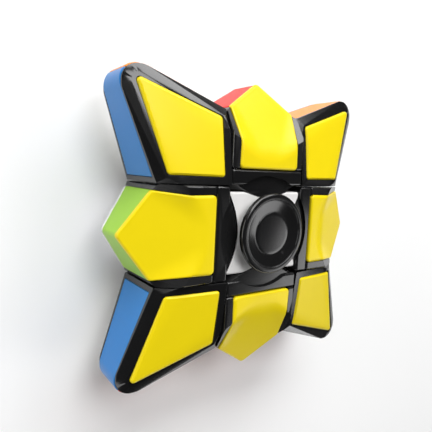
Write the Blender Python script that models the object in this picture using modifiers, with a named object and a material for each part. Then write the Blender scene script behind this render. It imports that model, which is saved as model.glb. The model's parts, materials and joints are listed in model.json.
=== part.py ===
"""Star-shaped 1x3x3 twisty puzzle with a ball-bearing finger spinner in its centre.

It lies flat: +Z is the spin axis and points out of the front face, +Y is the puzzle's top.
Shapes are modelled in half-cells (the grid's gap planes are at 1 and -1) about the centre
of the puzzle, and become metres when `add_node` writes them out.
"""

import math

import bmesh
import bpy
from mathutils import Matrix, Vector

# ---- driving dimensions -------------------------------------------------------------------
HALF_CELL = 0.0105          # metres: half the pitch of the 3 x 3 grid
GAP = 0.02                  # half the gap between two layers
FIT = 0.008                 # gap between a tile and its pocket
CONE_ANGLE = math.radians(51.5)     # half-angle of the hollow round each turning axis
CONE_CLEARANCE = math.radians(1.0)
CORE_BALL = 0.78            # radius of the core's middle
INNER_RADIUS = 0.84         # where hubs and feet start
FOOT_RADIUS = 1.53          # where feet end
CAVITY_RADIUS = 1.57        # the round hollow that the feet sweep through

FACE_HEIGHT = 1.017         # top of the edge tiles above the mid-plane
BORDER_DROP = 0.03          # black border below the tiles
TILE_THICKNESS = 0.09
CORE_HEIGHT = 0.93
CORE_SIDE = 0.87            # half-size of the core between the top and bottom layers
CAP_HEIGHT = 1.25           # rim of the finger cap above the mid-plane
CAP_UNDER = 1.12            # its underside, clear of the layers that turn below it
CAP_RADIUS = 0.86
CAP_EDGE = 0.04             # width of the slope between the rim and the cap's outer side
RIM_WIDTH = 0.08            # flat ring on the cap's rim
DISH_RADIUS = 0.46
DISH_DEPTH = 0.065

BEVEL = 0.03                # width of the slanted edges of the plastic parts
SEGMENTS = 24
NEAR = 1 + GAP              # first plane of the outer layer
FAR = 1 - GAP               # last plane of the middle layer

# ---- corner piece, seen from the front, in the +X +Y quadrant ------------------------------
CORNER_TILT = 0.12          # fall of the corner's face for each unit of x + y
CORNER_TILE_START = 1.165
CORNER_TILE_CREASE = 2.08   # where the face bends down towards the outer side
CORNER_TILE_SIDE = 2.364
CORNER_TILE_TIP = 2.96
CORNER_SIDE = (2.54, 1.057)     # side corner of the piece
CORNER_TIP = 3.397              # where both outer sides would meet
NOSE_RADIUS = 0.33
NOSE_STEPS = 4
CHAMFER_WIDTH = 0.16
RIM_HEIGHT = 0.68           # half-thickness at the side corner
RIM_FALL = 0.094            # fall of that half-thickness for each unit of x + y
SIDE_TILE_START = 0.07      # from the side corner
SIDE_TILE_INSET = 0.05
SIDE_TILE_PROUD = 0.02

# ---- edge piece, seen from the front, on the +Y axis ---------------------------------------
EDGE_TILE_START = 1.354
EDGE_TILE_HALF_WIDTH = 0.81
EDGE_TILE_SIDE = (0.874, 2.617)
EDGE_TIP = 3.218
EDGE_SLOPE = 0.395
SCOOP_START = (0.37, 1.68)      # inner corner of the sloping end of the face
SCOOP_SIDE = (0.81, 1.93)       # where that slope meets the side of the tile
SEAM = 1.338                    # joint between the hub and the shell
TIP_TILE_THICKNESS = 0.12

# ---- screws, springs, bearing and caps ----------------------------------------------------
POST_RADIUS = 0.22
POST_END = 1.12
SCREW_RADIUS = 0.10
SCREW_START = 0.66
HEAD_RADIUS = 0.26
HEAD_START = 1.93
HEAD_END = 2.08
SEAT_START = 1.16
SEAT_END = 1.29
SHELL_BORE = (0.34, 2.16)
SPRING_RADIUS = 0.19
SPRING_WIRE = 0.028
SPRING_TURNS = 3
SPRING_STEPS = 8
BEARING_BORE = 0.302
BEARING_OUTER = 0.605
BEARING_HALF_WIDTH = 0.226
BEARING_LAND = 0.05             # radial gap between each ring and the pitch circle
BALL_RADIUS = 0.08
GROOVE_RADIUS = 0.092
BALL_COUNT = 6
BOSS_RADIUS = 0.38              # thick part of the cap's boss, above the bearing
CORE_BORE = 0.44
SLACK = 0.005                   # gap round screws, bearing and springs
HUB_BORE_SLACK = 0.04           # gap between a post and the hub that turns on it
SCREW_GROOVE = (0.14, 0.025)    # half-length and half-width of each screwdriver groove

BLACK = ("black_plastic", (0.012, 0.012, 0.013), 0.22, 0.0)
YELLOW = ("yellow_plastic", (0.84, 0.66, 0.01), 0.25, 0.0)
WHITE = ("white_plastic", (0.80, 0.80, 0.78), 0.28, 0.0)
BLUE = ("blue_plastic", (0.025, 0.19, 0.51), 0.27, 0.0)
GREEN = ("green_plastic", (0.32, 0.58, 0.04), 0.27, 0.0)
RED = ("red_plastic", (0.70, 0.04, 0.04), 0.27, 0.0)
ORANGE = ("orange_plastic", (0.85, 0.25, 0.04), 0.27, 0.0)
CORE_WHITE = ("core_plastic", (0.62, 0.62, 0.60), 0.30, 0.0)
STEEL = ("steel", (0.55, 0.55, 0.56), 0.22, 1.0)

UP = Vector((0, 0, 1))


# ---- small tools --------------------------------------------------------------------------
def clear_scene():
    for obj in list(bpy.data.objects):
        bpy.data.objects.remove(obj, do_unlink=True)


def draft(bm):
    """A loose object that holds a shape while it is being made."""
    mesh = bpy.data.meshes.new("draft")
    bm.to_mesh(mesh)
    bm.free()
    obj = bpy.data.objects.new("draft", mesh)
    bpy.context.scene.collection.objects.link(obj)
    return obj


def drop(obj):
    mesh = obj.data
    bpy.data.objects.remove(obj, do_unlink=True)
    if mesh.users == 0:
        bpy.data.meshes.remove(mesh)


def bake(obj):
    """Apply every modifier of a draft."""
    graph = bpy.context.evaluated_depsgraph_get()
    mesh = bpy.data.meshes.new_from_object(obj.evaluated_get(graph))
    obj.modifiers.clear()
    obj.data = mesh
    return obj


def combine(body, tool, operation):
    modifier = body.modifiers.new("boolean", "BOOLEAN")
    modifier.operation = operation
    modifier.solver = "EXACT"
    modifier.object = tool
    bake(body)
    drop(tool)
    return body


def cut(body, *tools):
    for tool in tools:
        combine(body, tool, "DIFFERENCE")
    return body


def join(body, *tools):
    for tool in tools:
        combine(body, tool, "UNION")
    return body


def common(body, *tools):
    for tool in tools:
        combine(body, tool, "INTERSECT")
    return body


def rounded(obj, width, segments=1, angle=28):
    modifier = obj.modifiers.new("bevel", "BEVEL")
    modifier.width = width
    modifier.segments = segments
    modifier.limit_method = "ANGLE"
    modifier.angle_limit = math.radians(angle)
    return bake(obj)


def moved(obj, matrix):
    obj.data.transform(matrix)
    return obj


def hull(points):
    """The convex solid round some points, with flat faces kept whole."""
    bm = bmesh.new()
    verts = [bm.verts.new(point) for point in points]
    result = bmesh.ops.convex_hull(bm, input=verts)
    loose = set(result["geom_interior"] + result["geom_unused"])
    spare = [item for item in loose if isinstance(item, bmesh.types.BMVert)]
    bmesh.ops.delete(bm, geom=spare, context="VERTS")
    bmesh.ops.dissolve_limit(bm, angle_limit=math.radians(0.3), verts=bm.verts, edges=bm.edges)
    bmesh.ops.recalc_face_normals(bm, faces=bm.faces)
    return draft(bm)


def both_sides(points):
    """Some points and their mirror images in the mid-plane."""
    return list(points) + [(x, y, -z) for x, y, z in points]


def box(low, high):
    bm = bmesh.new()
    size = Vector(high) - Vector(low)
    middle = (Vector(high) + Vector(low)) / 2
    bmesh.ops.create_cube(bm, size=1, matrix=Matrix.Translation(middle) @ Matrix.Diagonal((*size, 1)))
    return draft(bm)


def ball(radius, segments=SEGMENTS):
    bm = bmesh.new()
    bmesh.ops.create_uvsphere(bm, u_segments=segments, v_segments=segments // 2, radius=radius)
    return draft(bm)


def rod(radius, start, end, segments=20):
    """A cylinder on the +Y axis."""
    bm = bmesh.new()
    turn = Matrix.Rotation(-math.pi / 2, 4, "X")
    place = Matrix.Translation((0, (start + end) / 2, 0)) @ turn
    bmesh.ops.create_cone(
        bm, cap_ends=True, segments=segments, radius1=radius, radius2=radius, depth=end - start, matrix=place
    )
    return draft(bm)


def cone(direction, half_angle, length=2.2):
    """A cone with its apex in the centre of the puzzle."""
    bm = bmesh.new()
    turn = Vector(direction).to_track_quat("Z", "Y").to_matrix().to_4x4()
    place = turn @ Matrix.Translation((0, 0, length / 2))
    bmesh.ops.create_cone(
        bm,
        cap_ends=True,
        segments=SEGMENTS,
        radius1=0.0,
        radius2=length * math.tan(half_angle),
        depth=length,
        matrix=place,
    )
    bmesh.ops.remove_doubles(bm, verts=bm.verts, dist=1e-5)
    return draft(bm)


def turned(profile, segments=SEGMENTS):
    """A solid of revolution about Z from (radius, height) points that run down its outer side."""
    mesh = bpy.data.meshes.new("profile")
    count = len(profile)
    edges = [(i, (i + 1) % count) for i in range(count)]
    if profile[0][0] == 0 and profile[-1][0] == 0:
        edges.pop()
    mesh.from_pydata([(r, 0, z) for r, z in profile], edges, [])
    obj = bpy.data.objects.new("draft", mesh)
    bpy.context.scene.collection.objects.link(obj)
    modifier = obj.modifiers.new("screw", "SCREW")
    modifier.axis = "Z"
    modifier.steps = segments
    modifier.render_steps = segments
    modifier.use_merge_vertices = True
    modifier.merge_threshold = 0.0001
    modifier.use_normal_calculate = True
    bake(obj)
    bm = bmesh.new()
    bm.from_mesh(obj.data)
    bmesh.ops.remove_doubles(bm, verts=bm.verts, dist=1e-5)
    bmesh.ops.recalc_face_normals(bm, faces=bm.faces)
    bm.to_mesh(obj.data)
    bm.free()
    return obj


# ---- the corner piece ---------------------------------------------------------------------
def corner_face(x, y):
    """Height of the corner tile's face."""
    return FACE_HEIGHT - 0.012 - CORNER_TILT * (x + y - 2 * CORNER_TILE_START)


def rim_height(x, y):
    """Half-thickness of the corner piece along its outer side."""
    return RIM_HEIGHT - RIM_FALL * (x + y - sum(CORNER_SIDE))


def nose(offset):
    """Plan of the rounded tip, as points on an arc that runs from one outer side to the other."""
    run = Vector((CORNER_TIP - CORNER_SIDE[0], CORNER_TIP - CORNER_SIDE[1]))
    side_angle = math.atan2(run.y, run.x)
    half_tip = side_angle - math.pi / 4
    centre = CORNER_TIP - NOSE_RADIUS / math.sin(half_tip) / math.sqrt(2)
    first = side_angle - math.pi / 2
    sweep = math.pi / 2 - 2 * first
    radius = NOSE_RADIUS + offset
    angles = [first + sweep * i / NOSE_STEPS for i in range(NOSE_STEPS + 1)]
    return [(centre + radius * math.cos(t), centre + radius * math.sin(t)) for t in angles]


def side_plan(offset):
    """Plan of both outer sides, moved outwards by an offset."""
    run = Vector((CORNER_TIP - CORNER_SIDE[0], CORNER_TIP - CORNER_SIDE[1])).normalized()
    x = CORNER_SIDE[0] + offset * run.y
    y = CORNER_SIDE[1] - offset * run.x
    return [(x, y)] + nose(offset) + [(y, x)]


def corner_block():
    """The black corner before its pockets."""
    points = [(NEAR, NEAR, corner_face(NEAR, NEAR) - BORDER_DROP)]
    bend = CORNER_TILE_CREASE
    points += [(x, y, corner_face(x, y) - BORDER_DROP) for x, y in ((NEAR, bend), (bend, NEAR))]
    for x, y in side_plan(-CHAMFER_WIDTH):
        points.append((max(x, NEAR), max(y, NEAR), corner_face(x, y) - BORDER_DROP - 0.03))
    for x, y in side_plan(0):
        points.append((x, y, rim_height(x, y)))
        inner_x = max(x - 0.06, NEAR) if x < y else x
        inner_y = max(y - 0.06, NEAR) if y < x else y
        points.append((inner_x, inner_y, rim_height(x, y)))
    return rounded(hull(both_sides(points)), BEVEL)


def corner_tile(spread, depth):
    """The front tile, or its pocket when spread and depth are larger."""
    near = CORNER_TILE_START - spread
    side = CORNER_TILE_SIDE + spread
    tip = CORNER_TILE_TIP + spread
    crease = CORNER_TILE_CREASE
    top = [(near, near, corner_face(near, near))]
    top += [(near, crease, corner_face(near, crease)), (crease, near, corner_face(crease, near))]
    side_height = corner_face(near, side) - 0.035
    top += [(near, side, side_height), (side, near, side_height)]
    for x, y in ((tip - 0.05, tip + 0.01), (tip + 0.01, tip - 0.05)):
        top.append((x, y, corner_face(tip, tip) - 0.01))
    bottom = [(x, y, z - depth) for x, y, z in top]
    return hull(top + bottom)


def side_ring(offset, inset):
    """A block as wide as the outer sides moved by an offset, and a little thinner than the corner."""
    plan = [(1.2, 1.2)] + side_plan(offset)
    return hull(both_sides([(x, y, rim_height(max(x, 1.5), max(y, 1.5)) - inset) for x, y in plan]))


def side_start(margin):
    """Plan of the line across the +X side where its tile starts: inner and outer end."""
    run = Vector((CORNER_TIP - CORNER_SIDE[0], CORNER_TIP - CORNER_SIDE[1])).normalized()
    start = Vector(CORNER_SIDE) + run * (SIDE_TILE_START - margin)
    across = Vector((run.y, -run.x))
    return [start - across * 0.5, start + across * 0.5, Vector((4.5, 3))]


def side_wedge():
    """The part of the plan that belongs to the tile on the +X side, up to the diagonal."""
    plan = side_start(0) + [Vector((4.5, 4.5 - FIT)), Vector((2, 2 - FIT))]
    return hull([(p.x, p.y, z) for p in plan for z in (-1, 1)])


def both_wedges():
    """The part of the plan that the two side tiles' pocket covers."""
    plan = side_start(FIT) + [Vector((4.5, 4.5))]
    plan += [Vector((p.y, p.x)) for p in plan]
    return hull([(p.x, p.y, z) for p in plan for z in (-1, 1)])


def corner_side_tile():
    tile = cut(side_ring(SIDE_TILE_PROUD, SIDE_TILE_INSET), side_ring(-TILE_THICKNESS, -0.3))
    common(tile, side_wedge())
    return rounded(tile, 0.025, 1, 35)


def side_pocket():
    pocket = cut(side_ring(0.3, SIDE_TILE_INSET - FIT), side_ring(-TILE_THICKNESS - FIT, -0.3))
    return common(pocket, both_wedges())


def foot():
    """The wedge that both neighbouring layers hold by the corner's diagonal."""
    half_angle = CONE_ANGLE - CONE_CLEARANCE
    body = cut(ball(FOOT_RADIUS), ball(INNER_RADIUS + 0.04))
    return common(body, cone((1, 0, 0), half_angle), cone((0, 1, 0), half_angle))


def flipped_corner(obj):
    """Turn a corner's detail half a turn about the diagonal."""
    return moved(obj, Matrix.Rotation(math.pi, 4, Vector((1, 1, 0))))


def corner_body():
    body = corner_block()
    cut(body, corner_tile(FIT, TILE_THICKNESS + FIT), flipped_corner(corner_tile(FIT, TILE_THICKNESS + FIT)))
    cut(body, side_pocket())
    return join(body, foot())


# ---- the edge piece -----------------------------------------------------------------------
def edge_face(y):
    """Height of the edge tile's face."""
    return FACE_HEIGHT - max(0.0, y - SCOOP_START[1]) * EDGE_SLOPE


def tip_plan(inset):
    """Half-width plan of the pointed end: side corner and tip, moved inwards."""
    run = Vector(EDGE_TILE_SIDE) - Vector((0, EDGE_TIP))
    slant = math.hypot(run.x, run.y) / run.x
    rise = -run.y / run.x
    tip = EDGE_TIP - inset * slant
    return tip, rise


def scoop(drop_by):
    """The tool that shapes the sloping end of the front face."""
    level = FACE_HEIGHT - drop_by
    start = Vector((*SCOOP_START, level))
    side = start + (Vector((*SCOOP_SIDE, level)) - start) * 2.5
    far = start + (Vector((*EDGE_TILE_SIDE, edge_face(EDGE_TILE_SIDE[1]) - drop_by)) - start) * 2.5
    low = [start, side, far]
    high = [Vector((p.x, p.y, level + 1.2)) for p in low]
    points = [(sign * p.x, p.y, p.z) for p in low + high for sign in (-1, 1)]
    return hull(points)


def edge_solid(half_width, start, inset, drop_by, bottom, bevel=0):
    """The edge piece's outer end: straight sides, a pointed end and a face lowered by drop_by."""
    tip, rise = tip_plan(inset)
    plan = [(half_width, start), (half_width, tip - rise * half_width), (0, tip)]
    heights = (bottom, FACE_HEIGHT - drop_by)
    body = hull([(sign * x, y, z) for x, y in plan for sign in (-1, 1) for z in heights])
    if bevel:
        rounded(body, bevel)
    return cut(body, scoop(drop_by))


def edge_front_tile(spread, depth, start, inset):
    """The front tile, or the pocket that it sits in, which runs past both ends of the shell."""
    tile = edge_solid(EDGE_TILE_HALF_WIDTH + spread, start, inset, 0, 0)
    return cut(tile, edge_solid(2, 0.8, -1, depth, -1))


def flipped_edge(obj):
    """Turn an edge's detail half a turn about the edge's own axis."""
    return moved(obj, Matrix.Rotation(math.pi, 4, "Y"))


def edge_shell():
    base = BORDER_DROP - FACE_HEIGHT
    body = edge_solid(FAR, SEAM + FIT, TIP_TILE_THICKNESS, BORDER_DROP, base, BEVEL)
    cut(body, flipped_edge(scoop(BORDER_DROP)))
    pocket = (FIT, TILE_THICKNESS + FIT, SEAM - 0.1, -0.3)
    cut(body, edge_front_tile(*pocket), flipped_edge(edge_front_tile(*pocket)))
    return cut(body, rod(SHELL_BORE[0], SEAM - 0.2, SHELL_BORE[1]))


def edge_tip_tile():
    """The one-piece tile round the pointed end."""
    depth = TILE_THICKNESS + FIT
    body = edge_solid(FAR - 0.05, 1.9, 0, depth, depth - FACE_HEIGHT)
    cut(body, flipped_edge(scoop(depth)))
    cut(body, hull(wedge_points(TIP_TILE_THICKNESS - FIT)))
    return rounded(body, BEVEL, 1, 40)


def wedge_points(inset):
    """Corners of a tall wedge that ends in the pointed plan, moved inwards."""
    tip, rise = tip_plan(inset)
    plan = [(3, 0), (3, tip - rise * 3), (0, tip)]
    return [(sign * x, y, z) for x, y in plan for sign in (-1, 1) for z in (-2, 2)]


def edge_hub():
    """The black inner part: the dome that the core holds, and the band up to the shell."""
    top = FACE_HEIGHT - BORDER_DROP
    band = rounded(box((-FAR, NEAR, -top), (FAR, SEAM, top)), BEVEL)
    cut(band, ball(CAVITY_RADIUS))
    width, height = FAR - 0.005, CORE_HEIGHT - 0.01
    dome = box((-width, 0.2, -height), (width, SEAM - 0.002, height))
    common(dome, cone((0, 1, 0), CONE_ANGLE - CONE_CLEARANCE))
    cut(dome, cone((1, 0, 0), CONE_ANGLE), cone((-1, 0, 0), CONE_ANGLE), ball(INNER_RADIUS))
    join(band, dome)
    cut(band, rod(POST_RADIUS + HUB_BORE_SLACK, 0.5, SEAT_START))
    cut(band, rod(SCREW_RADIUS + 0.03, 1, SEAM + 0.1, 16))
    return cut(band, rod(SHELL_BORE[0] - 0.06, SEAT_END, SEAM + 0.1))


def screw():
    profile = [(0, HEAD_END), (HEAD_RADIUS * 0.6, HEAD_END), (HEAD_RADIUS, HEAD_END - 0.06)]
    profile += [(HEAD_RADIUS, HEAD_START), (SCREW_RADIUS, HEAD_START), (SCREW_RADIUS, SCREW_START + 0.1)]
    profile += [(0, SCREW_START)]
    body = moved(turned(profile, 16), Matrix.Rotation(-math.pi / 2, 4, "X"))
    for half_x, half_z in (SCREW_GROOVE, SCREW_GROOVE[::-1]):
        cut(body, box((-half_x, HEAD_END - 0.07, -half_z), (half_x, HEAD_END + 0.1, half_z)))
    return body


def spring():
    start = SEAT_END + SPRING_WIRE + SLACK
    length = HEAD_START - SPRING_WIRE - SLACK - start
    count = SPRING_TURNS * SPRING_STEPS
    curve = bpy.data.curves.new("draft", "CURVE")
    curve.dimensions = "3D"
    curve.bevel_depth = SPRING_WIRE
    curve.bevel_resolution = 1
    curve.use_fill_caps = True
    spline = curve.splines.new("POLY")
    spline.points.add(count)
    for i, point in enumerate(spline.points):
        angle = 2 * math.pi * i / SPRING_STEPS
        along = start + length * i / count
        point.co = (SPRING_RADIUS * math.cos(angle), along, SPRING_RADIUS * math.sin(angle), 1)
    wire = bpy.data.objects.new("draft", curve)
    bpy.context.scene.collection.objects.link(wire)
    graph = bpy.context.evaluated_depsgraph_get()
    mesh = bpy.data.meshes.new_from_object(wire.evaluated_get(graph))
    bm = bmesh.new()
    bm.from_mesh(mesh)
    bmesh.ops.remove_doubles(bm, verts=bm.verts, dist=1e-5)
    bpy.data.objects.remove(wire, do_unlink=True)
    bpy.data.meshes.remove(mesh)
    return draft(bm)


# ---- the core, the bearing and the finger caps ---------------------------------------------
def core():
    """The whole core: a ball in the middle, a plate at each face and a post for each screw."""
    body = box((-FAR, -CORE_SIDE, -CORE_HEIGHT), (FAR, CORE_SIDE, CORE_HEIGHT))
    directions = [(1, 0, 0), (-1, 0, 0), (0, 1, 0), (0, -1, 0)]
    cut(body, *[cone(direction, CONE_ANGLE) for direction in directions])
    join(body, ball(CORE_BALL))
    for turn in range(4):
        post = moved(rod(POST_RADIUS, 0.6, POST_END), Matrix.Rotation(math.pi / 2 * turn, 4, "Z"))
        join(body, post)
    for turn in range(4):
        hole = rod(SCREW_RADIUS + SLACK, SCREW_START - 0.02, 1.3, 16)
        cut(body, moved(hole, Matrix.Rotation(math.pi / 2 * turn, 4, "Z")))
    seat = BEARING_HALF_WIDTH + SLACK
    outer = BEARING_OUTER + 0.003
    bores = [(CORE_BORE, 2), (CORE_BORE, -2), (0, -2), (0, 2)]
    pocket = [(outer, seat), (outer, -seat), (0, -seat), (0, seat)]
    return cut(body, turned(bores), turned(pocket))


def core_part(front):
    """The front cover, or the base that holds the bearing and the posts."""
    split = BEARING_HALF_WIDTH + 0.02
    keep = ((-2, -2, split + 0.006), (2, 2, 2)) if front else ((-2, -2, -2), (2, 2, split - 0.006))
    return common(core(), box(*keep))


def groove(side):
    """Points of a bearing ring's ball groove, from the front to the rear."""
    pitch = (BEARING_BORE + BEARING_OUTER) / 2
    reach = math.acos(BEARING_LAND / GROOVE_RADIUS)
    radius = GROOVE_RADIUS
    return [(pitch + side * radius * math.cos(t), radius * math.sin(t)) for t in (reach, 0, -reach)]


def bearing_ring(outer):
    side = 1 if outer else -1
    pitch = (BEARING_BORE + BEARING_OUTER) / 2
    wall = BEARING_OUTER if outer else BEARING_BORE
    land = pitch + side * BEARING_LAND
    half = BEARING_HALF_WIDTH
    profile = [(wall, -half), (wall, half), (land, half)] + groove(side) + [(land, -half)]
    return turned(profile)


def finger_cap():
    """A dished cap with a boss that goes half-way through the bearing."""
    floor = CAP_HEIGHT - DISH_DEPTH
    rim = CAP_RADIUS - CAP_EDGE
    shoulder = BEARING_HALF_WIDTH + FIT
    pin = BEARING_BORE - SLACK
    profile = [(0, floor), (DISH_RADIUS, floor), (rim - RIM_WIDTH, CAP_HEIGHT), (rim, CAP_HEIGHT)]
    profile += [(CAP_RADIUS, CAP_HEIGHT - CAP_EDGE), (CAP_RADIUS, CAP_UNDER + BEVEL)]
    profile += [(CAP_RADIUS - BEVEL, CAP_UNDER), (BOSS_RADIUS, CAP_UNDER), (BOSS_RADIUS, shoulder)]
    profile += [(pin, shoulder), (pin, SLACK), (0, SLACK)]
    return turned(profile, 32)


# ---- assembly -----------------------------------------------------------------------------
def material(look):
    name, colour, roughness, metallic = look
    found = bpy.data.materials.get(name)
    if found:
        return found
    made = bpy.data.materials.new(name)
    made.use_nodes = True
    shader = made.node_tree.nodes["Principled BSDF"]
    shader.inputs["Base Color"].default_value = (*colour, 1)
    shader.inputs["Roughness"].default_value = roughness
    shader.inputs["Metallic"].default_value = metallic
    made.diffuse_color = (*colour, 1)
    return made


def finish(shape):
    """Turn a draft into a clean mesh in metres."""
    bm = bmesh.new()
    bm.from_mesh(shape.data)
    drop(shape)
    bmesh.ops.remove_doubles(bm, verts=bm.verts, dist=2e-4)
    bmesh.ops.dissolve_degenerate(bm, edges=bm.edges, dist=2e-4)
    bmesh.ops.triangulate(bm, faces=bm.faces)
    bmesh.ops.scale(bm, vec=(HALF_CELL,) * 3, verts=bm.verts)
    bmesh.ops.recalc_face_normals(bm, faces=bm.faces)
    mesh = bpy.data.meshes.new("shape")
    bm.to_mesh(mesh)
    bm.free()
    return mesh


def empty(name, parent, collection):
    obj = bpy.data.objects.new(name, None)
    obj.empty_display_size = HALF_CELL
    obj.parent = parent
    collection.objects.link(obj)
    return obj


def add_node(name, mesh, look, body, collection, rotation=Matrix.Identity(4)):
    obj = bpy.data.objects.new(name, mesh.copy())
    obj.data.name = name
    obj.data.materials.append(material(look))
    obj.parent = body
    obj.rotation_euler = rotation.to_euler()
    collection.objects.link(obj)
    return obj


def build_corners(centre, collection):
    body = finish(corner_body())
    face = finish(corner_tile(0, TILE_THICKNESS))
    side = finish(corner_side_tile())
    flip = Matrix.Rotation(math.pi, 4, Vector((1, 1, 0)))
    # name, then the tile that the +X side of the quadrant becomes, and the tile of its +Y side
    layout = [
        ("top_right", ("right", GREEN), ("top", ORANGE)),
        ("top_left", ("top", ORANGE), ("left", BLUE)),
        ("bottom_left", ("left", BLUE), ("bottom", RED)),
        ("bottom_right", ("bottom", RED), ("right", GREEN)),
    ]
    for quarter, (place, first, second) in enumerate(layout):
        turn = Matrix.Rotation(math.pi / 2 * quarter, 4, "Z")
        group = empty(f"corner_{place}", centre, collection)
        name = f"corner_{place}"
        add_node(f"{name}_body", body, BLACK, group, collection, turn)
        add_node(f"{name}_front_tile", face, YELLOW, group, collection, turn)
        add_node(f"{name}_rear_tile", face, WHITE, group, collection, turn @ flip)
        add_node(f"{name}_{first[0]}_tile", side, first[1], group, collection, turn)
        add_node(f"{name}_{second[0]}_tile", side, second[1], group, collection, turn @ flip)


def build_edges(centre, core_group, collection):
    hub, shell, tip = finish(edge_hub()), finish(edge_shell()), finish(edge_tip_tile())
    face = finish(rounded(edge_front_tile(0, TILE_THICKNESS, EDGE_TILE_START, 0), BEVEL, 1, 35))
    bolt, coil = finish(screw()), finish(spring())
    flip = Matrix.Rotation(math.pi, 4, "Y")
    layout = (("top", RED), ("left", GREEN), ("bottom", ORANGE), ("right", BLUE))
    for quarter, (place, look) in enumerate(layout):
        turn = Matrix.Rotation(math.pi / 2 * quarter, 4, "Z")
        group = empty(f"edge_{place}", centre, collection)
        name = f"edge_{place}"
        add_node(f"{name}_hub", hub, BLACK, group, collection, turn)
        add_node(f"{name}_shell", shell, BLACK, group, collection, turn)
        add_node(f"{name}_front_tile", face, YELLOW, group, collection, turn)
        add_node(f"{name}_rear_tile", face, WHITE, group, collection, turn @ flip)
        add_node(f"{name}_tip_tile", tip, look, group, collection, turn)
        add_node(f"{name}_screw", bolt, STEEL, core_group, collection, turn)
        add_node(f"{name}_spring", coil, STEEL, core_group, collection, turn)


def build_centre(core_group, caps_group, collection):
    add_node("core_base", finish(core_part(False)), CORE_WHITE, core_group, collection)
    add_node("core_front_cover", finish(core_part(True)), CORE_WHITE, core_group, collection)
    add_node("bearing_outer_ring", finish(bearing_ring(True)), STEEL, core_group, collection)
    add_node("bearing_inner_ring", finish(bearing_ring(False)), STEEL, caps_group, collection)
    cap = finish(finger_cap())
    add_node("finger_cap_front", cap, BLACK, caps_group, collection)
    add_node("finger_cap_rear", cap, BLACK, caps_group, collection, Matrix.Rotation(math.pi, 4, "Y"))
    bead = finish(ball(BALL_RADIUS, 10))
    pitch = (BEARING_BORE + BEARING_OUTER) / 2 * HALF_CELL
    for i in range(BALL_COUNT):
        angle = 2 * math.pi * i / BALL_COUNT
        node = add_node(f"bearing_ball_{i + 1}", bead, STEEL, caps_group, collection)
        node.location = (pitch * math.cos(angle), pitch * math.sin(angle), 0)


def main():
    clear_scene()
    collection = bpy.data.collections.new("star_puzzle_spinner")
    bpy.context.scene.collection.children.link(collection)
    centre = empty("puzzle_centre", None, collection)
    centre.location = UP * CAP_HEIGHT * HALF_CELL
    caps_group = empty("finger_caps", centre, collection)
    core_group = empty("core", centre, collection)
    build_centre(core_group, caps_group, collection)
    build_corners(centre, collection)
    build_edges(centre, core_group, collection)


main()
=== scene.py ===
"""Looks of the star-shaped twisty puzzle spinner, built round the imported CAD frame.

Shapes are modelled in half-cells about the centre of the puzzle, as in the CAD, and are placed
in metres by `piece`, so every size comes from HALF_CELL, which is read from the frame.
"""

import json
import math

import bmesh
import bpy
from mathutils import Matrix, Vector


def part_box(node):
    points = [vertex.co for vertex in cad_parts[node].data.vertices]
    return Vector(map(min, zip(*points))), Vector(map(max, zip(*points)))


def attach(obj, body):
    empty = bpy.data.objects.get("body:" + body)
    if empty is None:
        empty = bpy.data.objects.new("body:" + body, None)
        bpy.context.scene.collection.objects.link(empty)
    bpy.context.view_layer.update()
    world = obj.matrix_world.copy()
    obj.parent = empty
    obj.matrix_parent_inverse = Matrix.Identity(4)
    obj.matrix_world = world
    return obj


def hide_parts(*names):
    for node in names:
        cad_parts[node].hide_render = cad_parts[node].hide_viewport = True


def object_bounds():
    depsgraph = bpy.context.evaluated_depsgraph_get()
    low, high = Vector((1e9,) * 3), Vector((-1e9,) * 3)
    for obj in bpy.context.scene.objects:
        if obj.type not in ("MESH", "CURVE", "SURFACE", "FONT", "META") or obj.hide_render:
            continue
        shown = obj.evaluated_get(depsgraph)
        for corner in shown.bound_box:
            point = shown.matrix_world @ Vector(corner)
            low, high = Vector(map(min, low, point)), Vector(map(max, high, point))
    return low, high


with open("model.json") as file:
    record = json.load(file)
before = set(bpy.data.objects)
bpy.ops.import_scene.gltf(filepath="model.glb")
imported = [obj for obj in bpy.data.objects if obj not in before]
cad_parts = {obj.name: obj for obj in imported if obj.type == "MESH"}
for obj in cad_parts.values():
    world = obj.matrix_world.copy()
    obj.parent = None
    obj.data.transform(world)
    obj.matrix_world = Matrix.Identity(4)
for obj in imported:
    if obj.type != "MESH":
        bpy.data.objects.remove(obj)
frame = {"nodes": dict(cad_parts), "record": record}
CAD_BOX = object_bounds()

# ---- sizes in half-cells, as in the CAD ----------------------------------------------------
CAD_GAP = 0.02          # between two pieces of the CAD model
GAP = 0.01              # between two pieces here
NEAR = 1 + GAP
FAR = 1 - GAP
HUB_LOW, HUB_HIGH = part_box("edge_top_hub")
HALF_CELL = (HUB_HIGH.x - HUB_LOW.x) / (2 * (1 - CAD_GAP))
CENTRE = (Vector(CAD_BOX[0]) + Vector(CAD_BOX[1])) / 2
CENTRE.x = CENTRE.y = 0

FIT = 0.008             # between two pieces of one layer
CONE_ANGLE = math.radians(51.5)
CONE_CLEARANCE = math.radians(1.0)
CORE_BALL = 0.78
INNER_RADIUS = 0.84
FOOT_RADIUS = 1.53
CAVITY_RADIUS = 1.57
FACE_HEIGHT = 1.017
BORDER_DROP = 0.03
TILE_THICKNESS = 0.09
CORE_HEIGHT = 0.93

CORNER_TILT = 0.12
CORNER_TILE_START = 1.165
CORNER_TILE_CREASE = 2.08
CORNER_TILE_SIDE = (1.174, 2.364)
CORNER_SIDE_DROP = 0.035
CORNER_TILE_TIP = 2.96
CORNER_SIDE = (2.54, 1.057)
CORNER_TIP = 3.397
NOSE_RADIUS = 0.33
NOSE_STEPS = 14
CHAMFER_WIDTH = 0.16
SIDE_STEP = 0.06
RIM_HEIGHT = 0.68
RIM_FALL = 0.094
SIDE_TILE_START = 0.07
SIDE_TILE_INSET = 0.05
SIDE_TILE_PROUD = 0.02

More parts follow.
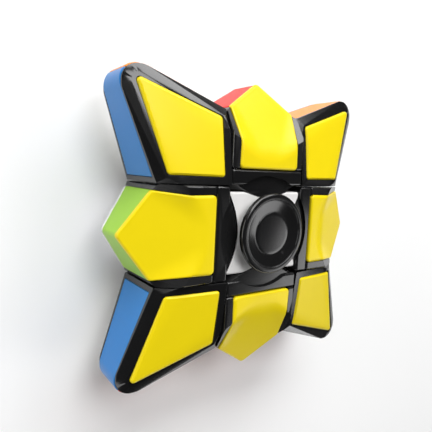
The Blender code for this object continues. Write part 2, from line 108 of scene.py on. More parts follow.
EDGE_TILE_START = 1.354
EDGE_TILE_HALF_WIDTH = 0.81
EDGE_TILE_SIDE = (0.874, 2.617)
EDGE_TIP = 3.218
EDGE_SLOPE = 0.395
SCOOP_START = (0.37, 1.68)
SCOOP_SIDE = (0.81, 1.93)
SEAM = 1.338
TIP_TILE_THICKNESS = 0.12

POST_RADIUS = 0.22
POST_END = 1.12
SCREW_RADIUS = 0.10
SEAT_START = 1.16
SEAT_END = 1.29
SHELL_BORE = (0.34, 2.16)
BEARING_BORE = 0.302
BEARING_OUTER = 0.605
BEARING_HALF_WIDTH = 0.226
CORE_SIDE = 0.87
CAP_HEIGHT = 1.25
CAP_UNDER = 1.12
CAP_RADIUS = 0.86
BOSS_RADIUS = 0.38
CORE_BORE = 0.44

PIECE_ROUND = 0.05      # radius of the black pieces' edges
TILE_ROUND = 0.045
BALL_RADIUS = 0.07      # the CAD's is 0.08, which meets the facets of the outer ring's groove in a spin
POCKET_DEPTH = 0.035    # room under a tile
BORDER_INNER = 0.885    # half-width between the black borders beside a pointed tile
CREASE_SOFTNESS = 0.012
VALLEY_SOFTNESS = 0.07
FOLD_SOFTNESS = 0.09
SHARP_ANGLE = 36        # degrees between faces that meet in a crisp edge
ROUND = 64              # segments of the visible round shapes

QUARTER_TURNS = [Matrix.Rotation(math.pi / 2 * quarter, 4, "Z") for quarter in range(4)]
FLIP_CORNER = Matrix.Rotation(math.pi, 4, Vector((1, 1, 0)))
FLIP_EDGE = Matrix.Rotation(math.pi, 4, "Y")


# ---- mesh tools ---------------------------------------------------------------------------
def draft(bm):
    """A new object from a bmesh."""
    mesh = bpy.data.meshes.new("draft")
    bm.to_mesh(mesh)
    bm.free()
    obj = bpy.data.objects.new("draft", mesh)
    bpy.context.scene.collection.objects.link(obj)
    return obj


def drop(obj):
    mesh = obj.data
    bpy.data.objects.remove(obj, do_unlink=True)
    if mesh.users == 0:
        bpy.data.meshes.remove(mesh)


def bake(obj):
    """Apply the modifiers."""
    graph = bpy.context.evaluated_depsgraph_get()
    mesh = bpy.data.meshes.new_from_object(obj.evaluated_get(graph))
    obj.modifiers.clear()
    obj.data = mesh
    return obj


def combine(body, tools, operation):
    for tool in tools:
        modifier = body.modifiers.new("boolean", "BOOLEAN")
        modifier.operation = operation
        modifier.solver = "EXACT"
        modifier.object = tool
        bake(body)
        drop(tool)
    return body


def cut(body, *tools):
    return combine(body, tools, "DIFFERENCE")


def join(body, *tools):
    return combine(body, tools, "UNION")


def common(body, *tools):
    return combine(body, tools, "INTERSECT")


def tidy(obj):
    """Merge flat neighbours and stray points that booleans leave."""
    bm = bmesh.new()
    bm.from_mesh(obj.data)
    bmesh.ops.remove_doubles(bm, verts=bm.verts, dist=2e-4)
    bmesh.ops.dissolve_degenerate(bm, edges=bm.edges, dist=2e-4)
    bmesh.ops.dissolve_limit(bm, angle_limit=math.radians(0.3), verts=bm.verts, edges=bm.edges)
    bmesh.ops.recalc_face_normals(bm, faces=bm.faces)
    bm.to_mesh(obj.data)
    bm.free()
    return obj


def rounded(obj, width, segments=3, angle=25):
    modifier = obj.modifiers.new("bevel", "BEVEL")
    modifier.width = width
    modifier.segments = segments
    modifier.limit_method = "ANGLE"
    modifier.angle_limit = math.radians(angle)
    return bake(obj)


def moved(obj, matrix):
    obj.data.transform(matrix)
    return obj


def hull(points):
    """The convex solid round the points."""
    bm = bmesh.new()
    verts = [bm.verts.new(point) for point in points]
    result = bmesh.ops.convex_hull(bm, input=verts)
    spare = {v for v in result["geom_interior"] + result["geom_unused"] if isinstance(v, bmesh.types.BMVert)}
    bmesh.ops.delete(bm, geom=list(spare), context="VERTS")
    bmesh.ops.dissolve_limit(bm, angle_limit=math.radians(0.3), verts=bm.verts, edges=bm.edges)
    bmesh.ops.recalc_face_normals(bm, faces=bm.faces)
    return draft(bm)


def both_sides(points):
    """The points and their mirror images below the middle plane."""
    return list(points) + [(x, y, -z) for x, y, z in points]


def prism(plan, low, high):
    """A solid with one plan between two heights."""
    bm = bmesh.new()
    rings = [[bm.verts.new((x, y, z)) for x, y in plan] for z in (low, high)]
    bm.faces.new(rings[0])
    bm.faces.new(rings[1])
    for i in range(len(plan)):
        j = (i + 1) % len(plan)
        bm.faces.new((rings[0][i], rings[0][j], rings[1][j], rings[1][i]))
    bmesh.ops.recalc_face_normals(bm, faces=bm.faces)
    return draft(bm)


def soft_corners(points, radii, steps=6):
    """A plan whose corners are arcs of the given radii."""
    plan = []
    count = len(points)
    for i, radius in enumerate(radii):
        corner = Vector(points[i])
        before = (Vector(points[i - 1]) - corner).normalized()
        after = (Vector(points[(i + 1) % count]) - corner).normalized()
        half = before.angle(after) / 2
        centre = corner + (before + after).normalized() * radius / math.sin(half)
        start = corner + before * radius / math.tan(half) - centre
        end = corner + after * radius / math.tan(half) - centre
        turn = start.angle_signed(end)
        for step in range(steps + 1):
            angle = -turn * step / steps
            spin = Matrix.Rotation(angle, 2)
            plan.append(tuple(centre + spin @ start))
    return plan


def inset(points, distance):
    """A counterclockwise plan whose sides have all moved inwards."""
    result = []
    for i, corner in enumerate(points):
        before = (Vector(corner) - Vector(points[i - 1])).normalized()
        after = (Vector(points[(i + 1) % len(points)]) - Vector(corner)).normalized()
        normals = Vector((-before.y - after.y, before.x + after.x))
        result.append(Vector(corner) + normals * distance / (1 + before.dot(after)))
    return result


def smooth_min(a, b, width):
    share = min(1, max(0, 0.5 + 0.5 * (b - a) / width))
    return b + (a - b) * share - width * share * (1 - share)


def smooth_max(a, b, width):
    return -smooth_min(-a, -b, width)


def tile(points, radii, height, thickness, edge_round, cell=0.05):
    """A tile with a curved face: rings round its edge, and a fine grid across the face and the back."""
    bm = bmesh.new()
    side = bm.faces.layers.int.new("side")
    steps = 4
    levels = [(0, thickness)]
    for step in range(steps + 1):
        angle = math.pi / 2 * step / steps
        levels.append((edge_round * (1 - math.cos(angle)), edge_round * (1 - math.sin(angle))))
    rings = []
    for distance, drop_by in levels:
        plan = soft_corners(inset(points, distance), [max(r - distance, 0.004) for r in radii])
        rings.append([bm.verts.new((x, y, height(x, y) - drop_by)) for x, y in plan])
    for low, high in zip(rings, rings[1:]):
        for i in range(len(low)):
            j = (i + 1) % len(low)
            bm.faces.new((low[i], low[j], high[j], high[i]))
    bm.faces.new(rings[-1])[side] = 1
    bm.faces.new(rings[0])[side] = 2
    for axis in (0, 1):
        low = min(p[axis] for p in points)
        high = max(p[axis] for p in points)
        count = int((high - low) / cell)
        for i in range(1, count):
            place, normal = Vector((0, 0, 0)), Vector((0, 0, 0))
            place[axis], normal[axis] = low + (high - low) * i / count, 1
            faces = [face for face in bm.faces if face[side]]
            edges = {edge for face in faces for edge in face.edges}
            verts = {vert for face in faces for vert in face.verts}
            geometry = faces + list(edges) + list(verts)
            bmesh.ops.bisect_plane(bm, geom=geometry, dist=1e-5, plane_co=place, plane_no=normal)
    for face in bm.faces:
        if face[side]:
            for vert in face.verts:
                x, y = vert.co.xy
                vert.co.z = height(x, y) - (thickness if face[side] == 2 else 0)
    bmesh.ops.recalc_face_normals(bm, faces=bm.faces)
    return draft(bm)


def box(low, high):
    bm = bmesh.new()
    size = Vector(high) - Vector(low)
    middle = (Vector(high) + Vector(low)) / 2
    bmesh.ops.create_cube(bm, size=1, matrix=Matrix.Translation(middle) @ Matrix.Diagonal((*size, 1)))
    return draft(bm)


def ball(radius, segments=ROUND):
    bm = bmesh.new()
    bmesh.ops.create_uvsphere(bm, u_segments=segments, v_segments=segments // 2, radius=radius)
    return draft(bm)


def rod(radius, start, end, segments=32):
    """A cylinder along +Y."""
    bm = bmesh.new()
    place = Matrix.Translation((0, (start + end) / 2, 0)) @ Matrix.Rotation(-math.pi / 2, 4, "X")
    bmesh.ops.create_cone(
        bm, cap_ends=True, segments=segments, radius1=radius, radius2=radius, depth=end - start, matrix=place
    )
    return draft(bm)


def cone(direction, half_angle, length=2.2):
    """A cone with its tip in the puzzle's centre."""
    bm = bmesh.new()
    turn = Vector(direction).to_track_quat("Z", "Y").to_matrix().to_4x4()
    bmesh.ops.create_cone(
        bm,
        cap_ends=True,
        segments=ROUND * 2,
        radius1=0.0,
        radius2=length * math.tan(half_angle),
        depth=length,
        matrix=turn @ Matrix.Translation((0, 0, length / 2)),
    )
    bmesh.ops.remove_doubles(bm, verts=bm.verts, dist=1e-5)
    return draft(bm)


def turned(profile, segments=ROUND):
    """A solid of revolution about Z from (radius, height) points."""
    bm = bmesh.new()
    rings = []
    for radius, height in profile:
        if radius == 0:
            rings.append([bm.verts.new((0, 0, height))])
            continue
        angles = [2 * math.pi * i / segments for i in range(segments)]
        rings.append([bm.verts.new((radius * math.cos(t), radius * math.sin(t), height)) for t in angles])
    pairs = list(zip(rings, rings[1:]))
    if len(rings[0]) > 1 and len(rings[-1]) > 1:
        pairs.append((rings[-1], rings[0]))
    for first, second in pairs:
        for i in range(segments):
            j = (i + 1) % segments
            corners = {first[i % len(first)]: 0, first[j % len(first)]: 0}
            corners.update({second[j % len(second)]: 0, second[i % len(second)]: 0})
            if len(corners) > 2:
                bm.faces.new(list(corners))
    bmesh.ops.recalc_face_normals(bm, faces=bm.faces)
    return draft(bm)


# ---- the corner piece ---------------------------------------------------------------------
def corner_face(x, y):
    return FACE_HEIGHT - 0.012 - CORNER_TILT * (x + y - 2 * CORNER_TILE_START)


def rim_height(x, y):
    return RIM_HEIGHT - RIM_FALL * (x + y - sum(CORNER_SIDE))


def side_run():
    return Vector((CORNER_TIP - CORNER_SIDE[0], CORNER_TIP - CORNER_SIDE[1])).normalized()


def nose(offset):
    run = side_run()
    side_angle = math.atan2(run.y, run.x)
    centre = CORNER_TIP - NOSE_RADIUS / math.sin(side_angle - math.pi / 4) / math.sqrt(2)
    first = side_angle - math.pi / 2
    sweep = math.pi / 2 - 2 * first
    radius = NOSE_RADIUS + offset
    angles = [first + sweep * i / NOSE_STEPS for i in range(NOSE_STEPS + 1)]
    return [(centre + radius * math.cos(t), centre + radius * math.sin(t)) for t in angles]


def side_plan(offset):
    run = side_run()
    x = CORNER_SIDE[0] + offset * run.y
    y = CORNER_SIDE[1] - offset * run.x
    return [(x, y)] + nose(offset) + [(y, x)]


def plane_through(a, b, c):
    """Height of the plane through three points, as a function of x and y."""
    a, b, c = Vector(a), Vector(b), Vector(c)
    normal = (b - a).cross(c - a)
    return lambda x, y: a.z - (normal.x * (x - a.x) + normal.y * (y - a.y)) / normal.z


def corner_strip():
    """Height of the narrow facet along the corner's outer side, as a function of x and y."""
    tip = CORNER_TILE_TIP
    start = (CORNER_TILE_START, CORNER_TILE_CREASE)
    side = (*CORNER_TILE_SIDE, corner_face(*CORNER_TILE_SIDE) - CORNER_SIDE_DROP)
    return plane_through((*start, corner_face(*start)), (tip, tip, corner_face(tip, tip)), side)


def corner_surface(drop_by, bottom):
    """A block under the corner's face: the main facet and the two narrow ones beside it."""
    tip = CORNER_TILE_TIP
    start = (CORNER_TILE_START, CORNER_TILE_CREASE)
    strip = corner_strip()
    slope = (tip - start[1]) / (tip - start[0])
    crease = (0.5, start[1] + slope * (0.5 - start[0]))
    points = [(x, x, height(x, x)) for x, height in ((0.5, corner_face), (tip, corner_face), (3.6, strip))]
    wide = [(*crease, corner_face(*crease)), (0.5, 3.4, strip(0.5, 3.4)), (2.6, 4.2, strip(2.6, 4.2))]
    points += wide + [(y, x, z) for x, y, z in wide]
    low = [(x, y, bottom) for x, y, z in points]
    return hull([(x, y, z - drop_by) for x, y, z in points] + low)


def corner_block():
    points = [(NEAR, NEAR, corner_face(NEAR, NEAR) - BORDER_DROP)]
    bend = CORNER_TILE_CREASE
    points += [(x, y, corner_face(x, y) - BORDER_DROP) for x, y in ((NEAR, bend), (bend, NEAR))]
    for x, y in side_plan(-CHAMFER_WIDTH):
        points.append((max(x, NEAR), max(y, NEAR), corner_face(x, y) - BORDER_DROP - 0.03))
    for x, y in side_plan(0):
        points.append((x, y, rim_height(x, y)))
        side_x = max(x - SIDE_STEP, NEAR) if x < y else x
        side_y = max(y - SIDE_STEP, NEAR) if y < x else y
        points.append((side_x, side_y, rim_height(x, y)))
    return rounded(hull(both_sides(points)), PIECE_ROUND, 5, 20)


def corner_points():
    near, tip = CORNER_TILE_START, CORNER_TILE_TIP
    side_x, side_y = CORNER_TILE_SIDE
    return [(near, near), (side_y, side_x), (tip, tip), (side_x, side_y)], [0.07, 0.09, 0.075, 0.09]


def corner_height(x, y):
    """The corner tile's face: the main facet, with a narrow facet along each outer side."""
    strip = corner_strip()
    facets = smooth_min(strip(x, y), strip(y, x), CREASE_SOFTNESS)
    return smooth_min(corner_face(x, y), facets, CREASE_SOFTNESS)


def corner_front_tile():
    return tile(*corner_points(), corner_height, TILE_THICKNESS, TILE_ROUND)


def corner_pocket():
    points, radii = corner_points()
    plan = soft_corners(inset(points, -FIT), radii)
    pocket = common(prism(plan, -0.2, 1.4), corner_surface(0, -1))
    return cut(pocket, corner_surface(TILE_THICKNESS + POCKET_DEPTH, -2))


def side_ring(offset, lowered):
    plan = [(1.2, 1.2)] + side_plan(offset)
    return hull(both_sides([(x, y, rim_height(max(x, 1.5), max(y, 1.5)) - lowered) for x, y in plan]))


def side_start(margin):
    run = side_run()
    start = Vector(CORNER_SIDE) + run * (SIDE_TILE_START - margin)
    across = Vector((run.y, -run.x))
    return [start - across * 0.5, start + across * 0.5, Vector((4.5, 3))]


def corner_side_tile():
    plan = side_start(0) + [Vector((4.5, 4.5 - FIT)), Vector((2, 2 - FIT))]
    wedge = hull([(p.x, p.y, z) for p in plan for z in (-1, 1)])
    ring = cut(side_ring(SIDE_TILE_PROUD, SIDE_TILE_INSET), side_ring(-TILE_THICKNESS, -0.3))
    return tidy(common(ring, wedge))


def side_pocket():
    plan = side_start(FIT) + [Vector((4.5, 4.5))]
    plan += [Vector((p.y, p.x)) for p in plan]
    wedges = hull([(p.x, p.y, z) for p in plan for z in (-1, 1)])
    pocket = cut(side_ring(0.3, SIDE_TILE_INSET - FIT), side_ring(-TILE_THICKNESS - FIT, -0.3))
    return common(pocket, wedges)


def foot():
    half_angle = CONE_ANGLE - CONE_CLEARANCE
    body = cut(ball(FOOT_RADIUS), ball(INNER_RADIUS + 0.04))
    return common(body, cone((1, 0, 0), half_angle), cone((0, 1, 0), half_angle))


def corner_body():
    body = cut(corner_block(), corner_pocket(), moved(corner_pocket(), FLIP_CORNER))
    cut(body, side_pocket())
    return tidy(join(body, foot()))


# ---- the edge piece -----------------------------------------------------------------------
def edge_face(y):
    return FACE_HEIGHT - max(0.0, y - SCOOP_START[1]) * EDGE_SLOPE


def tip_plan(setback):
    """Where the edge's outline meets the middle, and how steeply it rises to there."""
    run = Vector(EDGE_TILE_SIDE) - Vector((0, EDGE_TIP))
    slant = math.hypot(run.x, run.y) / run.x
    return EDGE_TIP - setback * slant, -run.y / run.x


def scoop(drop_by):
    level = FACE_HEIGHT - drop_by
    start = Vector((*SCOOP_START, level))
    side = start + (Vector((*SCOOP_SIDE, level)) - start) * 2.5
    far = start + (Vector((*EDGE_TILE_SIDE, edge_face(EDGE_TILE_SIDE[1]) - drop_by)) - start) * 2.5
    low = [start, side, far]
    high = [Vector((p.x, p.y, level + 1.2)) for p in low]
    return hull([(sign * p.x, p.y, p.z) for p in low + high for sign in (-1, 1)])


def edge_solid(half_width, start, setback, drop_by, bottom, bevel=0):
    tip, rise = tip_plan(setback)
    plan = [(half_width, start), (half_width, tip - rise * half_width), (0, tip)]
    heights = (bottom, FACE_HEIGHT - drop_by)
    body = hull([(sign * x, y, z) for x, y in plan for sign in (-1, 1) for z in heights])
    if bevel:
        rounded(body, bevel, 4)
    return cut(body, scoop(drop_by))


def edge_points(start):
    width = EDGE_TILE_HALF_WIDTH
    tip, rise = tip_plan(0)
    side = EDGE_TILE_SIDE[0]
    points = [(-width, start), (width, start), (width - 0.01, SCOOP_SIDE[1])]
    points += [(side, tip - rise * side), (0, tip), (-side, tip - rise * side)]
    points += [(0.01 - width, SCOOP_SIDE[1])]
    return points, [0.1, 0.1, 1.2, 0.05, 0.09, 0.05, 1.2]


def edge_height(x, y):
    """The edge tile's face: flat near the centre, then a slope between two facets that flank its start."""
    start = (*SCOOP_START, FACE_HEIGHT)
    flank = plane_through(start, (*SCOOP_SIDE, FACE_HEIGHT), (*EDGE_TILE_SIDE, edge_face(EDGE_TILE_SIDE[1])))
    slope = FACE_HEIGHT - (y - SCOOP_START[1]) * EDGE_SLOPE
    return smooth_min(FACE_HEIGHT, smooth_max(slope, flank(abs(x), y), VALLEY_SOFTNESS), FOLD_SOFTNESS)


def edge_front_tile():
    return tile(*edge_points(EDGE_TILE_START), edge_height, TILE_THICKNESS, TILE_ROUND)


def edge_pocket():
    points, radii = edge_points(SEAM - 0.1)
    points[4] = (0, EDGE_TIP + 0.6)
    points = inset(points, -FIT)
    pocket = prism(soft_corners(points, [0.01, 0.01, 1.2, 0.01, 0.09, 0.01, 1.2]), 0, FACE_HEIGHT)
    return cut(pocket, edge_solid(2, 0.8, -1, TILE_THICKNESS + POCKET_DEPTH, -1))


def edge_shell():
    """The black shell: set back under the pointed tile, with a flush border on both sides of it."""
    bottom = BORDER_DROP - FACE_HEIGHT
    body = edge_solid(FAR, SEAM + FIT, TIP_TILE_THICKNESS, BORDER_DROP, bottom, PIECE_ROUND)
    border = edge_solid(FAR, SEAM + 0.3, 0.012, BORDER_DROP, bottom, PIECE_ROUND)
    join(body, cut(border, box((-BORDER_INNER, 0, -2), (BORDER_INNER, 4, 2))))
    cut(body, moved(scoop(BORDER_DROP), FLIP_EDGE))
    cut(body, edge_pocket(), moved(edge_pocket(), FLIP_EDGE))
    return tidy(cut(body, rod(SHELL_BORE[0], SEAM - 0.2, SHELL_BORE[1])))


def edge_tip_tile():
    tip, rise = tip_plan(0)
    side = BORDER_INNER - FIT
    inner = tip_plan(TIP_TILE_THICKNESS - FIT)[0]
    points = [(side, tip - rise * side), (0, tip), (-side, tip - rise * side)]
    points += [(-side, inner - rise * side), (0, inner), (side, inner - rise * side)]
    top = TILE_THICKNESS + FIT
    plan = soft_corners(points, [0.04, 0.12, 0.04, 0.02, 0.05, 0.02])
    body = prism(plan, top - FACE_HEIGHT, FACE_HEIGHT - top)
    cut(body, scoop(top), moved(scoop(top), FLIP_EDGE))
    return tidy(body)


def edge_hub():
    edge = FACE_HEIGHT - BORDER_DROP
    band = rounded(box((-FAR, NEAR, -edge), (FAR, SEAM, edge)), PIECE_ROUND, 5)
    cut(band, ball(CAVITY_RADIUS))
    width = FAR - 0.005
    dome = box((-width, 0.2, 0.01 - CORE_HEIGHT), (width, SEAM - 0.002, CORE_HEIGHT - 0.01))
    common(dome, cone((0, 1, 0), CONE_ANGLE - CONE_CLEARANCE))
    cut(dome, cone((1, 0, 0), CONE_ANGLE), cone((-1, 0, 0), CONE_ANGLE), ball(INNER_RADIUS))
    join(band, dome)
    cut(band, rod(POST_RADIUS + 0.04, 0.5, SEAT_START), rod(SCREW_RADIUS + 0.03, 1, SEAM + 0.1))
    return tidy(cut(band, rod(SHELL_BORE[0] - 0.06, SEAT_END, SEAM + 0.1)))


# ---- the core and the finger caps ---------------------------------------------------------
def core_part(front):
    body = rounded(box((-FAR, -CORE_SIDE, -CORE_HEIGHT), (FAR, CORE_SIDE, CORE_HEIGHT)), 0.05, 4)
    cut(body, *[cone(direction, CONE_ANGLE) for direction in ((1, 0, 0), (-1, 0, 0), (0, 1, 0), (0, -1, 0))])
    join(body, ball(CORE_BALL))
    for turn in QUARTER_TURNS:
        join(body, moved(rod(POST_RADIUS, 0.6, POST_END), turn))
    for turn in QUARTER_TURNS:
        cut(body, moved(rod(SCREW_RADIUS + 0.005, 0.64, 1.3, 24), turn))
    seat = BEARING_HALF_WIDTH + 0.005
    outer = BEARING_OUTER + 0.003
    cut(body, turned([(0, 2), (CORE_BORE, 2), (CORE_BORE, -2), (0, -2)]))
    cut(body, turned([(0, seat), (outer, seat), (outer, -seat), (0, -seat)]))
    split = BEARING_HALF_WIDTH + 0.02
    keep = ((-2, -2, split + 0.006), (2, 2, 2)) if front else ((-2, -2, -2), (2, 2, split - 0.006))
    return tidy(common(body, box(*keep)))


def arc(centre, radius, first, last, steps):
    """Profile points on an arc, with angles in degrees from the outward direction."""
    angles = [math.radians(first + (last - first) * i / steps) for i in range(steps + 1)]
    return [(centre[0] + radius * math.cos(t), centre[1] + radius * math.sin(t)) for t in angles]


def finger_cap():
    """The dished cap: a flat floor, a sloping ring and a raised rim, on a boss into the bearing."""
    floor = CAP_HEIGHT - 0.062
    profile = [(0, floor + 0.004), (0.2, floor + 0.003), (0.38, floor + 0.001)]
    profile += arc((0.445, floor - 0.012), 0.012, 90, 0, 4)
    steps = 8
    inner, outer, low, high = 0.465, 0.715, floor - 0.012, CAP_HEIGHT - 0.018
    for i in range(steps + 1):
        t = i / steps
        profile.append((inner + (outer - inner) * t, low + (high - low) * (0.8 * t + 0.2 * t * t)))
    profile += arc((0.75, CAP_HEIGHT - 0.022), 0.022, 170, 90, 5)
    profile += arc((CAP_RADIUS - 0.05, CAP_HEIGHT - 0.05), 0.05, 90, 0, 8)
    profile += arc((CAP_RADIUS - 0.03, CAP_UNDER + 0.03), 0.03, 0, -90, 5)
    shoulder = BEARING_HALF_WIDTH + FIT
    pin = BEARING_BORE - 0.005
    profile += [(BOSS_RADIUS, CAP_UNDER), (BOSS_RADIUS, shoulder), (pin, shoulder), (pin, 0.005), (0, 0.005)]
    return turned(profile, 128)


# ---- materials ----------------------------------------------------------------------------
def node_of(tree, kind, inputs=None, **settings):
    made = tree.nodes.new(kind)
    for key, value in settings.items():
        setattr(made, key, value)
    for key, value in (inputs or {}).items():
        made.inputs[key].default_value = value
    return made


def map_range(tree, from_min, from_max, to_min, to_max):
    inputs = {"From Min": from_min, "From Max": from_max, "To Min": to_min, "To Max": to_max}
    return node_of(tree, "ShaderNodeMapRange", inputs)


SCRATCH_SCALE = (120.0, 2600.0, 900.0)


def plastic(name, colour, roughness, mottle=0.01, wear=0.01, gloss_level=0.25):
    """Moulded gloss plastic: faint mottling, fine scratches, orange-peel bump and paler worn edges."""
    look = bpy.data.materials.new(name)
    look.use_nodes = True
    tree = look.node_tree
    shader = tree.nodes["Principled BSDF"]
    place = node_of(tree, "ShaderNodeTexCoord")
    cloud = node_of(tree, "ShaderNodeTexNoise", {"Scale": 220.0, "Detail": 4.0, "Roughness": 0.6})
    tree.links.new(place.outputs["Object"], cloud.inputs["Vector"])
    ramp = node_of(tree, "ShaderNodeValToRGB")
    dark = tuple(c * (1 - mottle) for c in colour)
    light = tuple(min(1, c * (1 + mottle)) for c in colour)
    ramp.color_ramp.elements[0].position = 0.3
    ramp.color_ramp.elements[0].color = (*dark, 1)
    ramp.color_ramp.elements[1].position = 0.7
    ramp.color_ramp.elements[1].color = (*light, 1)
    tree.links.new(cloud.outputs["Fac"], ramp.inputs["Fac"])

    shape = node_of(tree, "ShaderNodeNewGeometry")
    edges = map_range(tree, 0.53, 0.62, 0.0, wear)
    tree.links.new(shape.outputs["Pointiness"], edges.inputs["Value"])
    worn = node_of(tree, "ShaderNodeMixRGB", {"Color2": tuple(0.5 + c / 2 for c in colour) + (1,)})
    tree.links.new(edges.outputs["Result"], worn.inputs["Fac"])
    tree.links.new(ramp.outputs["Color"], worn.inputs["Color1"])
    tree.links.new(worn.outputs["Color"], shader.inputs["Base Color"])

    # fine scratches: noise drawn out along one direction
    stretch = node_of(tree, "ShaderNodeMapping", {"Scale": SCRATCH_SCALE, "Rotation": (0.0, 0.0, 0.6)})
    tree.links.new(place.outputs["Object"], stretch.inputs["Vector"])
    scratch = node_of(tree, "ShaderNodeTexNoise", {"Scale": 1.0, "Detail": 3.0, "Roughness": 0.7})
    tree.links.new(stretch.outputs["Vector"], scratch.inputs["Vector"])
    gloss = map_range(tree, 0.3, 0.75, roughness * 0.99, roughness * 1.02)
    tree.links.new(scratch.outputs["Fac"], gloss.inputs["Value"])
    tree.links.new(gloss.outputs["Result"], shader.inputs["Roughness"])

    peel = node_of(tree, "ShaderNodeTexNoise", {"Scale": 900.0, "Detail": 2.0})
    tree.links.new(place.outputs["Object"], peel.inputs["Vector"])
    bump = node_of(tree, "ShaderNodeBump", {"Strength": 0.02, "Distance": 0.00002})
    tree.links.new(peel.outputs["Fac"], bump.inputs["Height"])
    tree.links.new(bump.outputs["Normal"], shader.inputs["Normal"])
    shader.inputs["Specular IOR Level"].default_value = gloss_level
    return look


def steel(name):
    look = bpy.data.materials.new(name)
    look.use_nodes = True
    tree = look.node_tree
    shader = tree.nodes["Principled BSDF"]
    place = node_of(tree, "ShaderNodeTexCoord")
    grain = node_of(tree, "ShaderNodeTexNoise", {"Scale": 1500.0, "Detail": 3.0})
    tree.links.new(place.outputs["Object"], grain.inputs["Vector"])
    tint = node_of(tree, "ShaderNodeValToRGB")
    tint.color_ramp.elements[0].color = (0.42, 0.42, 0.43, 1)
    tint.color_ramp.elements[1].color = (0.66, 0.66, 0.67, 1)
    gloss = node_of(tree, "ShaderNodeMapRange", {"To Min": 0.16, "To Max": 0.34})
    tree.links.new(grain.outputs["Fac"], tint.inputs["Fac"])
    tree.links.new(grain.outputs["Fac"], gloss.inputs["Value"])
    tree.links.new(tint.outputs["Color"], shader.inputs["Base Color"])
    tree.links.new(gloss.outputs["Result"], shader.inputs["Roughness"])
    shader.inputs["Metallic"].default_value = 1.0
    return look


LOOKS = {
    "black_plastic": plastic("black_gloss", (0.008, 0.008, 0.0083), 0.15, 0.1, 0.02, 0.6),
    "yellow_plastic": plastic("yellow_gloss", (0.85, 0.665, 0.006), 0.3),
    "white_plastic": plastic("white_gloss", (0.83, 0.83, 0.81), 0.27, 0.02),
    "blue_plastic": plastic("blue_gloss", (0.022, 0.19, 0.52), 0.28),
    "green_plastic": plastic("green_gloss", (0.31, 0.58, 0.035), 0.28),
    "red_plastic": plastic("red_gloss", (0.72, 0.035, 0.03), 0.3, gloss_level=0.08),
    "orange_plastic": plastic("orange_gloss", (0.92, 0.28, 0.035), 0.3, gloss_level=0.08),
    "core_plastic": plastic("core_satin", (0.78, 0.77, 0.76), 0.32, 0.02),
    "steel": steel("bearing_steel"),
}


# ---- placing pieces -----------------------------------------------------------------------
def piece(node, shape, turn, bevel=0.0, angle=30):
    """A copy of a shape in metres, which stands for one CAD node."""
    slot = next(part["material_slot"] for part in frame["record"]["subparts"] if part["node"] == node)
    body = next(name for name, nodes in frame["record"]["behaviour"]["bodies"].items() if node in nodes)
    mesh = shape.data.copy()
    mesh.transform(Matrix.Translation(CENTRE) @ Matrix.Scale(HALF_CELL, 4) @ turn)
    mesh.materials.clear()
    mesh.materials.append(LOOKS[slot])
    obj = bpy.data.objects.new(f"{node}_look", mesh)
    bpy.context.scene.collection.objects.link(obj)
    mesh.shade_smooth()
    mesh.set_sharp_from_angle(angle=math.radians(SHARP_ANGLE))
    if bevel:
        modifier = obj.modifiers.new("round edges", "BEVEL")
        modifier.width = bevel * HALF_CELL
        modifier.segments = 3
        modifier.limit_method = "ANGLE"
        modifier.angle_limit = math.radians(angle)
        modifier.harden_normals = False
    normals = obj.modifiers.new("flat faces stay flat", "WEIGHTED_NORMAL")
    normals.weight = 80
    normals.keep_sharp = True
    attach(obj, body)
    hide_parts(node)
    return obj


def build_corners():
    body, face, side = corner_body(), corner_front_tile(), corner_side_tile()
    layout = {
        "top_right": ("right", "top"),
        "top_left": ("top", "left"),
        "bottom_left": ("left", "bottom"),
        "bottom_right": ("bottom", "right"),
    }
    for turn, (place, (first, second)) in zip(QUARTER_TURNS, layout.items()):
        piece(f"corner_{place}_body", body, turn, 0.012, 35)
        piece(f"corner_{place}_front_tile", face, turn)
        piece(f"corner_{place}_rear_tile", face, turn @ FLIP_CORNER)
        piece(f"corner_{place}_{first}_tile", side, turn, 0.03)
        piece(f"corner_{place}_{second}_tile", side, turn @ FLIP_CORNER, 0.03)
    for shape in (body, face, side):
        drop(shape)


def build_edges():
    hub, shell, face, tip = edge_hub(), edge_shell(), edge_front_tile(), edge_tip_tile()
    for turn, place in zip(QUARTER_TURNS, ("top", "left", "bottom", "right")):
        piece(f"edge_{place}_hub", hub, turn, 0.012, 35)
        piece(f"edge_{place}_shell", shell, turn, 0.012, 35)
        piece(f"edge_{place}_front_tile", face, turn)
        piece(f"edge_{place}_rear_tile", face, turn @ FLIP_EDGE)
        piece(f"edge_{place}_tip_tile", tip, turn, 0.03)
    for shape in (hub, shell, face, tip):
        drop(shape)


def build_centre():
    for node, front in (("core_base", False), ("core_front_cover", True)):
        shape = core_part(front)
        piece(node, shape, Matrix.Identity(4), 0.012, 35)
        drop(shape)
    cap = finger_cap()
    piece("finger_cap_front", cap, Matrix.Identity(4))
    piece("finger_cap_rear", cap, Matrix.Rotation(math.pi, 4, "Y"))
    drop(cap)


def dress_inner_parts():
    """Give the steel parts their look. The balls are also rounder and smaller than the CAD's."""
    for node, obj in frame["nodes"].items():
        if "bearing_ball" in node:
            low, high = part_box(node)
            place = (low + high) / 2 - CENTRE
            shape = ball(BALL_RADIUS)
            piece(node, shape, Matrix.Translation(place / HALF_CELL))
            drop(shape)
        elif "bearing" in node or node.endswith(("screw", "spring")):
            obj.data.materials.clear()
            obj.data.materials.append(LOOKS["steel"])


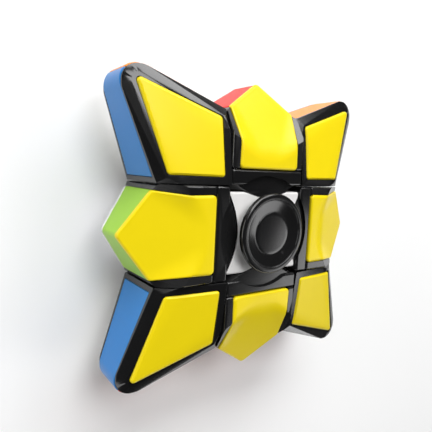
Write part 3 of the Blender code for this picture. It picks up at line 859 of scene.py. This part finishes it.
# ---- floor, lights and camera ---------------------------------------------------------------
def build_floor():
    bm = bmesh.new()
    bmesh.ops.create_grid(bm, x_segments=1, y_segments=1, size=2.0)
    floor = draft(bm)
    floor.name = "studio_floor"
    look = bpy.data.materials.new("studio_white")
    look.use_nodes = True
    tree = look.node_tree
    shader = tree.nodes["Principled BSDF"]
    noise = node_of(tree, "ShaderNodeTexNoise", {"Scale": 3.0, "Detail": 2.0})
    ramp = node_of(tree, "ShaderNodeValToRGB")
    ramp.color_ramp.elements[0].color = (0.96, 0.96, 0.96, 1)
    ramp.color_ramp.elements[1].color = (0.98, 0.98, 0.98, 1)
    tree.links.new(noise.outputs["Fac"], ramp.inputs["Fac"])
    tree.links.new(ramp.outputs["Color"], shader.inputs["Base Color"])
    shader.inputs["Roughness"].default_value = 0.8
    floor.data.materials.append(look)


def area_light(name, place, width, height, radiance):
    """A soft box that faces the puzzle."""
    data = bpy.data.lights.new(name, "AREA")
    data.shape = "RECTANGLE"
    data.size = width
    data.size_y = height
    data.energy = radiance * math.pi * width * height
    obj = bpy.data.objects.new(name, data)
    obj.location = place
    obj.rotation_euler = (CENTRE - Vector(place)).to_track_quat("-Z", "Y").to_euler()
    bpy.context.scene.collection.objects.link(obj)


def build_lights():
    """Soft boxes round the puzzle, in a room that is darker towards +X and overhead."""
    world = bpy.data.worlds.new("studio")
    world.use_nodes = True
    tree = world.node_tree
    background = tree.nodes["Background"]
    place = node_of(tree, "ShaderNodeTexCoord")
    side = node_of(tree, "ShaderNodeVectorMath", operation="DOT_PRODUCT")
    side.inputs[1].default_value = (1, 0, 0)
    level = map_range(tree, -1.0, 0.9, 1.35, 0.45)
    split = node_of(tree, "ShaderNodeSeparateXYZ")
    ceiling = map_range(tree, 0.3, 0.75, 0.9, 0.22)
    total = node_of(tree, "ShaderNodeMath", operation="MULTIPLY")
    tree.links.new(place.outputs["Generated"], side.inputs[0])
    tree.links.new(place.outputs["Generated"], split.inputs["Vector"])
    tree.links.new(side.outputs["Value"], level.inputs["Value"])
    tree.links.new(split.outputs["Z"], ceiling.inputs["Value"])
    tree.links.new(level.outputs["Result"], total.inputs[0])
    tree.links.new(ceiling.outputs["Result"], total.inputs[1])
    tree.links.new(total.outputs["Value"], background.inputs["Strength"])
    bpy.context.scene.world = world
    area_light("softbox_top", (0.05, 0.72, 0.42), 1.0, 0.4, 6.6)
    area_light("softbox_left", (-0.75, 0.1, 0.12), 0.6, 0.25, 3.6)
    area_light("softbox_low", (0.2, -0.7, 0.05), 0.7, 0.1, 3.4)
    area_light("softbox_overhead", (0.0, 0.32, 0.62), 0.32, 0.3, 6.5)
    area_light("softbox_streak", (0.46, 0.38, 0.54), 0.08, 0.3, 5.0)
    area_light("softbox_rim", (0.6, -0.26, 0.46), 0.34, 0.3, 3.0)
    area_light("softbox_fill", (-0.4, -0.62, 0.5), 0.5, 0.3, 2.4)


def build_camera():
    data = bpy.data.cameras.new("camera")
    data.sensor_width = 36.0
    data.lens = 35.44
    data.clip_start = 0.005
    forward = Vector((0.5739, -0.1160, -0.8107)).normalized()
    up = Vector((0.0295, 0.9922, -0.1211))
    right = forward.cross(up).normalized()
    up = right.cross(forward)
    place = CENTRE + Vector((-6.2051, 1.3733, 7.8342)) * HALF_CELL
    obj = bpy.data.objects.new("camera", data)
    turn = Matrix((right, up, -forward)).transposed().to_4x4()
    obj.matrix_world = Matrix.Translation(place) @ turn
    bpy.context.scene.collection.objects.link(obj)
    bpy.context.scene.camera = obj


build_camera()
build_corners()
build_edges()
build_centre()
dress_inner_parts()
build_floor()
build_lights()
bpy.context.scene.view_settings.view_transform = "Standard"
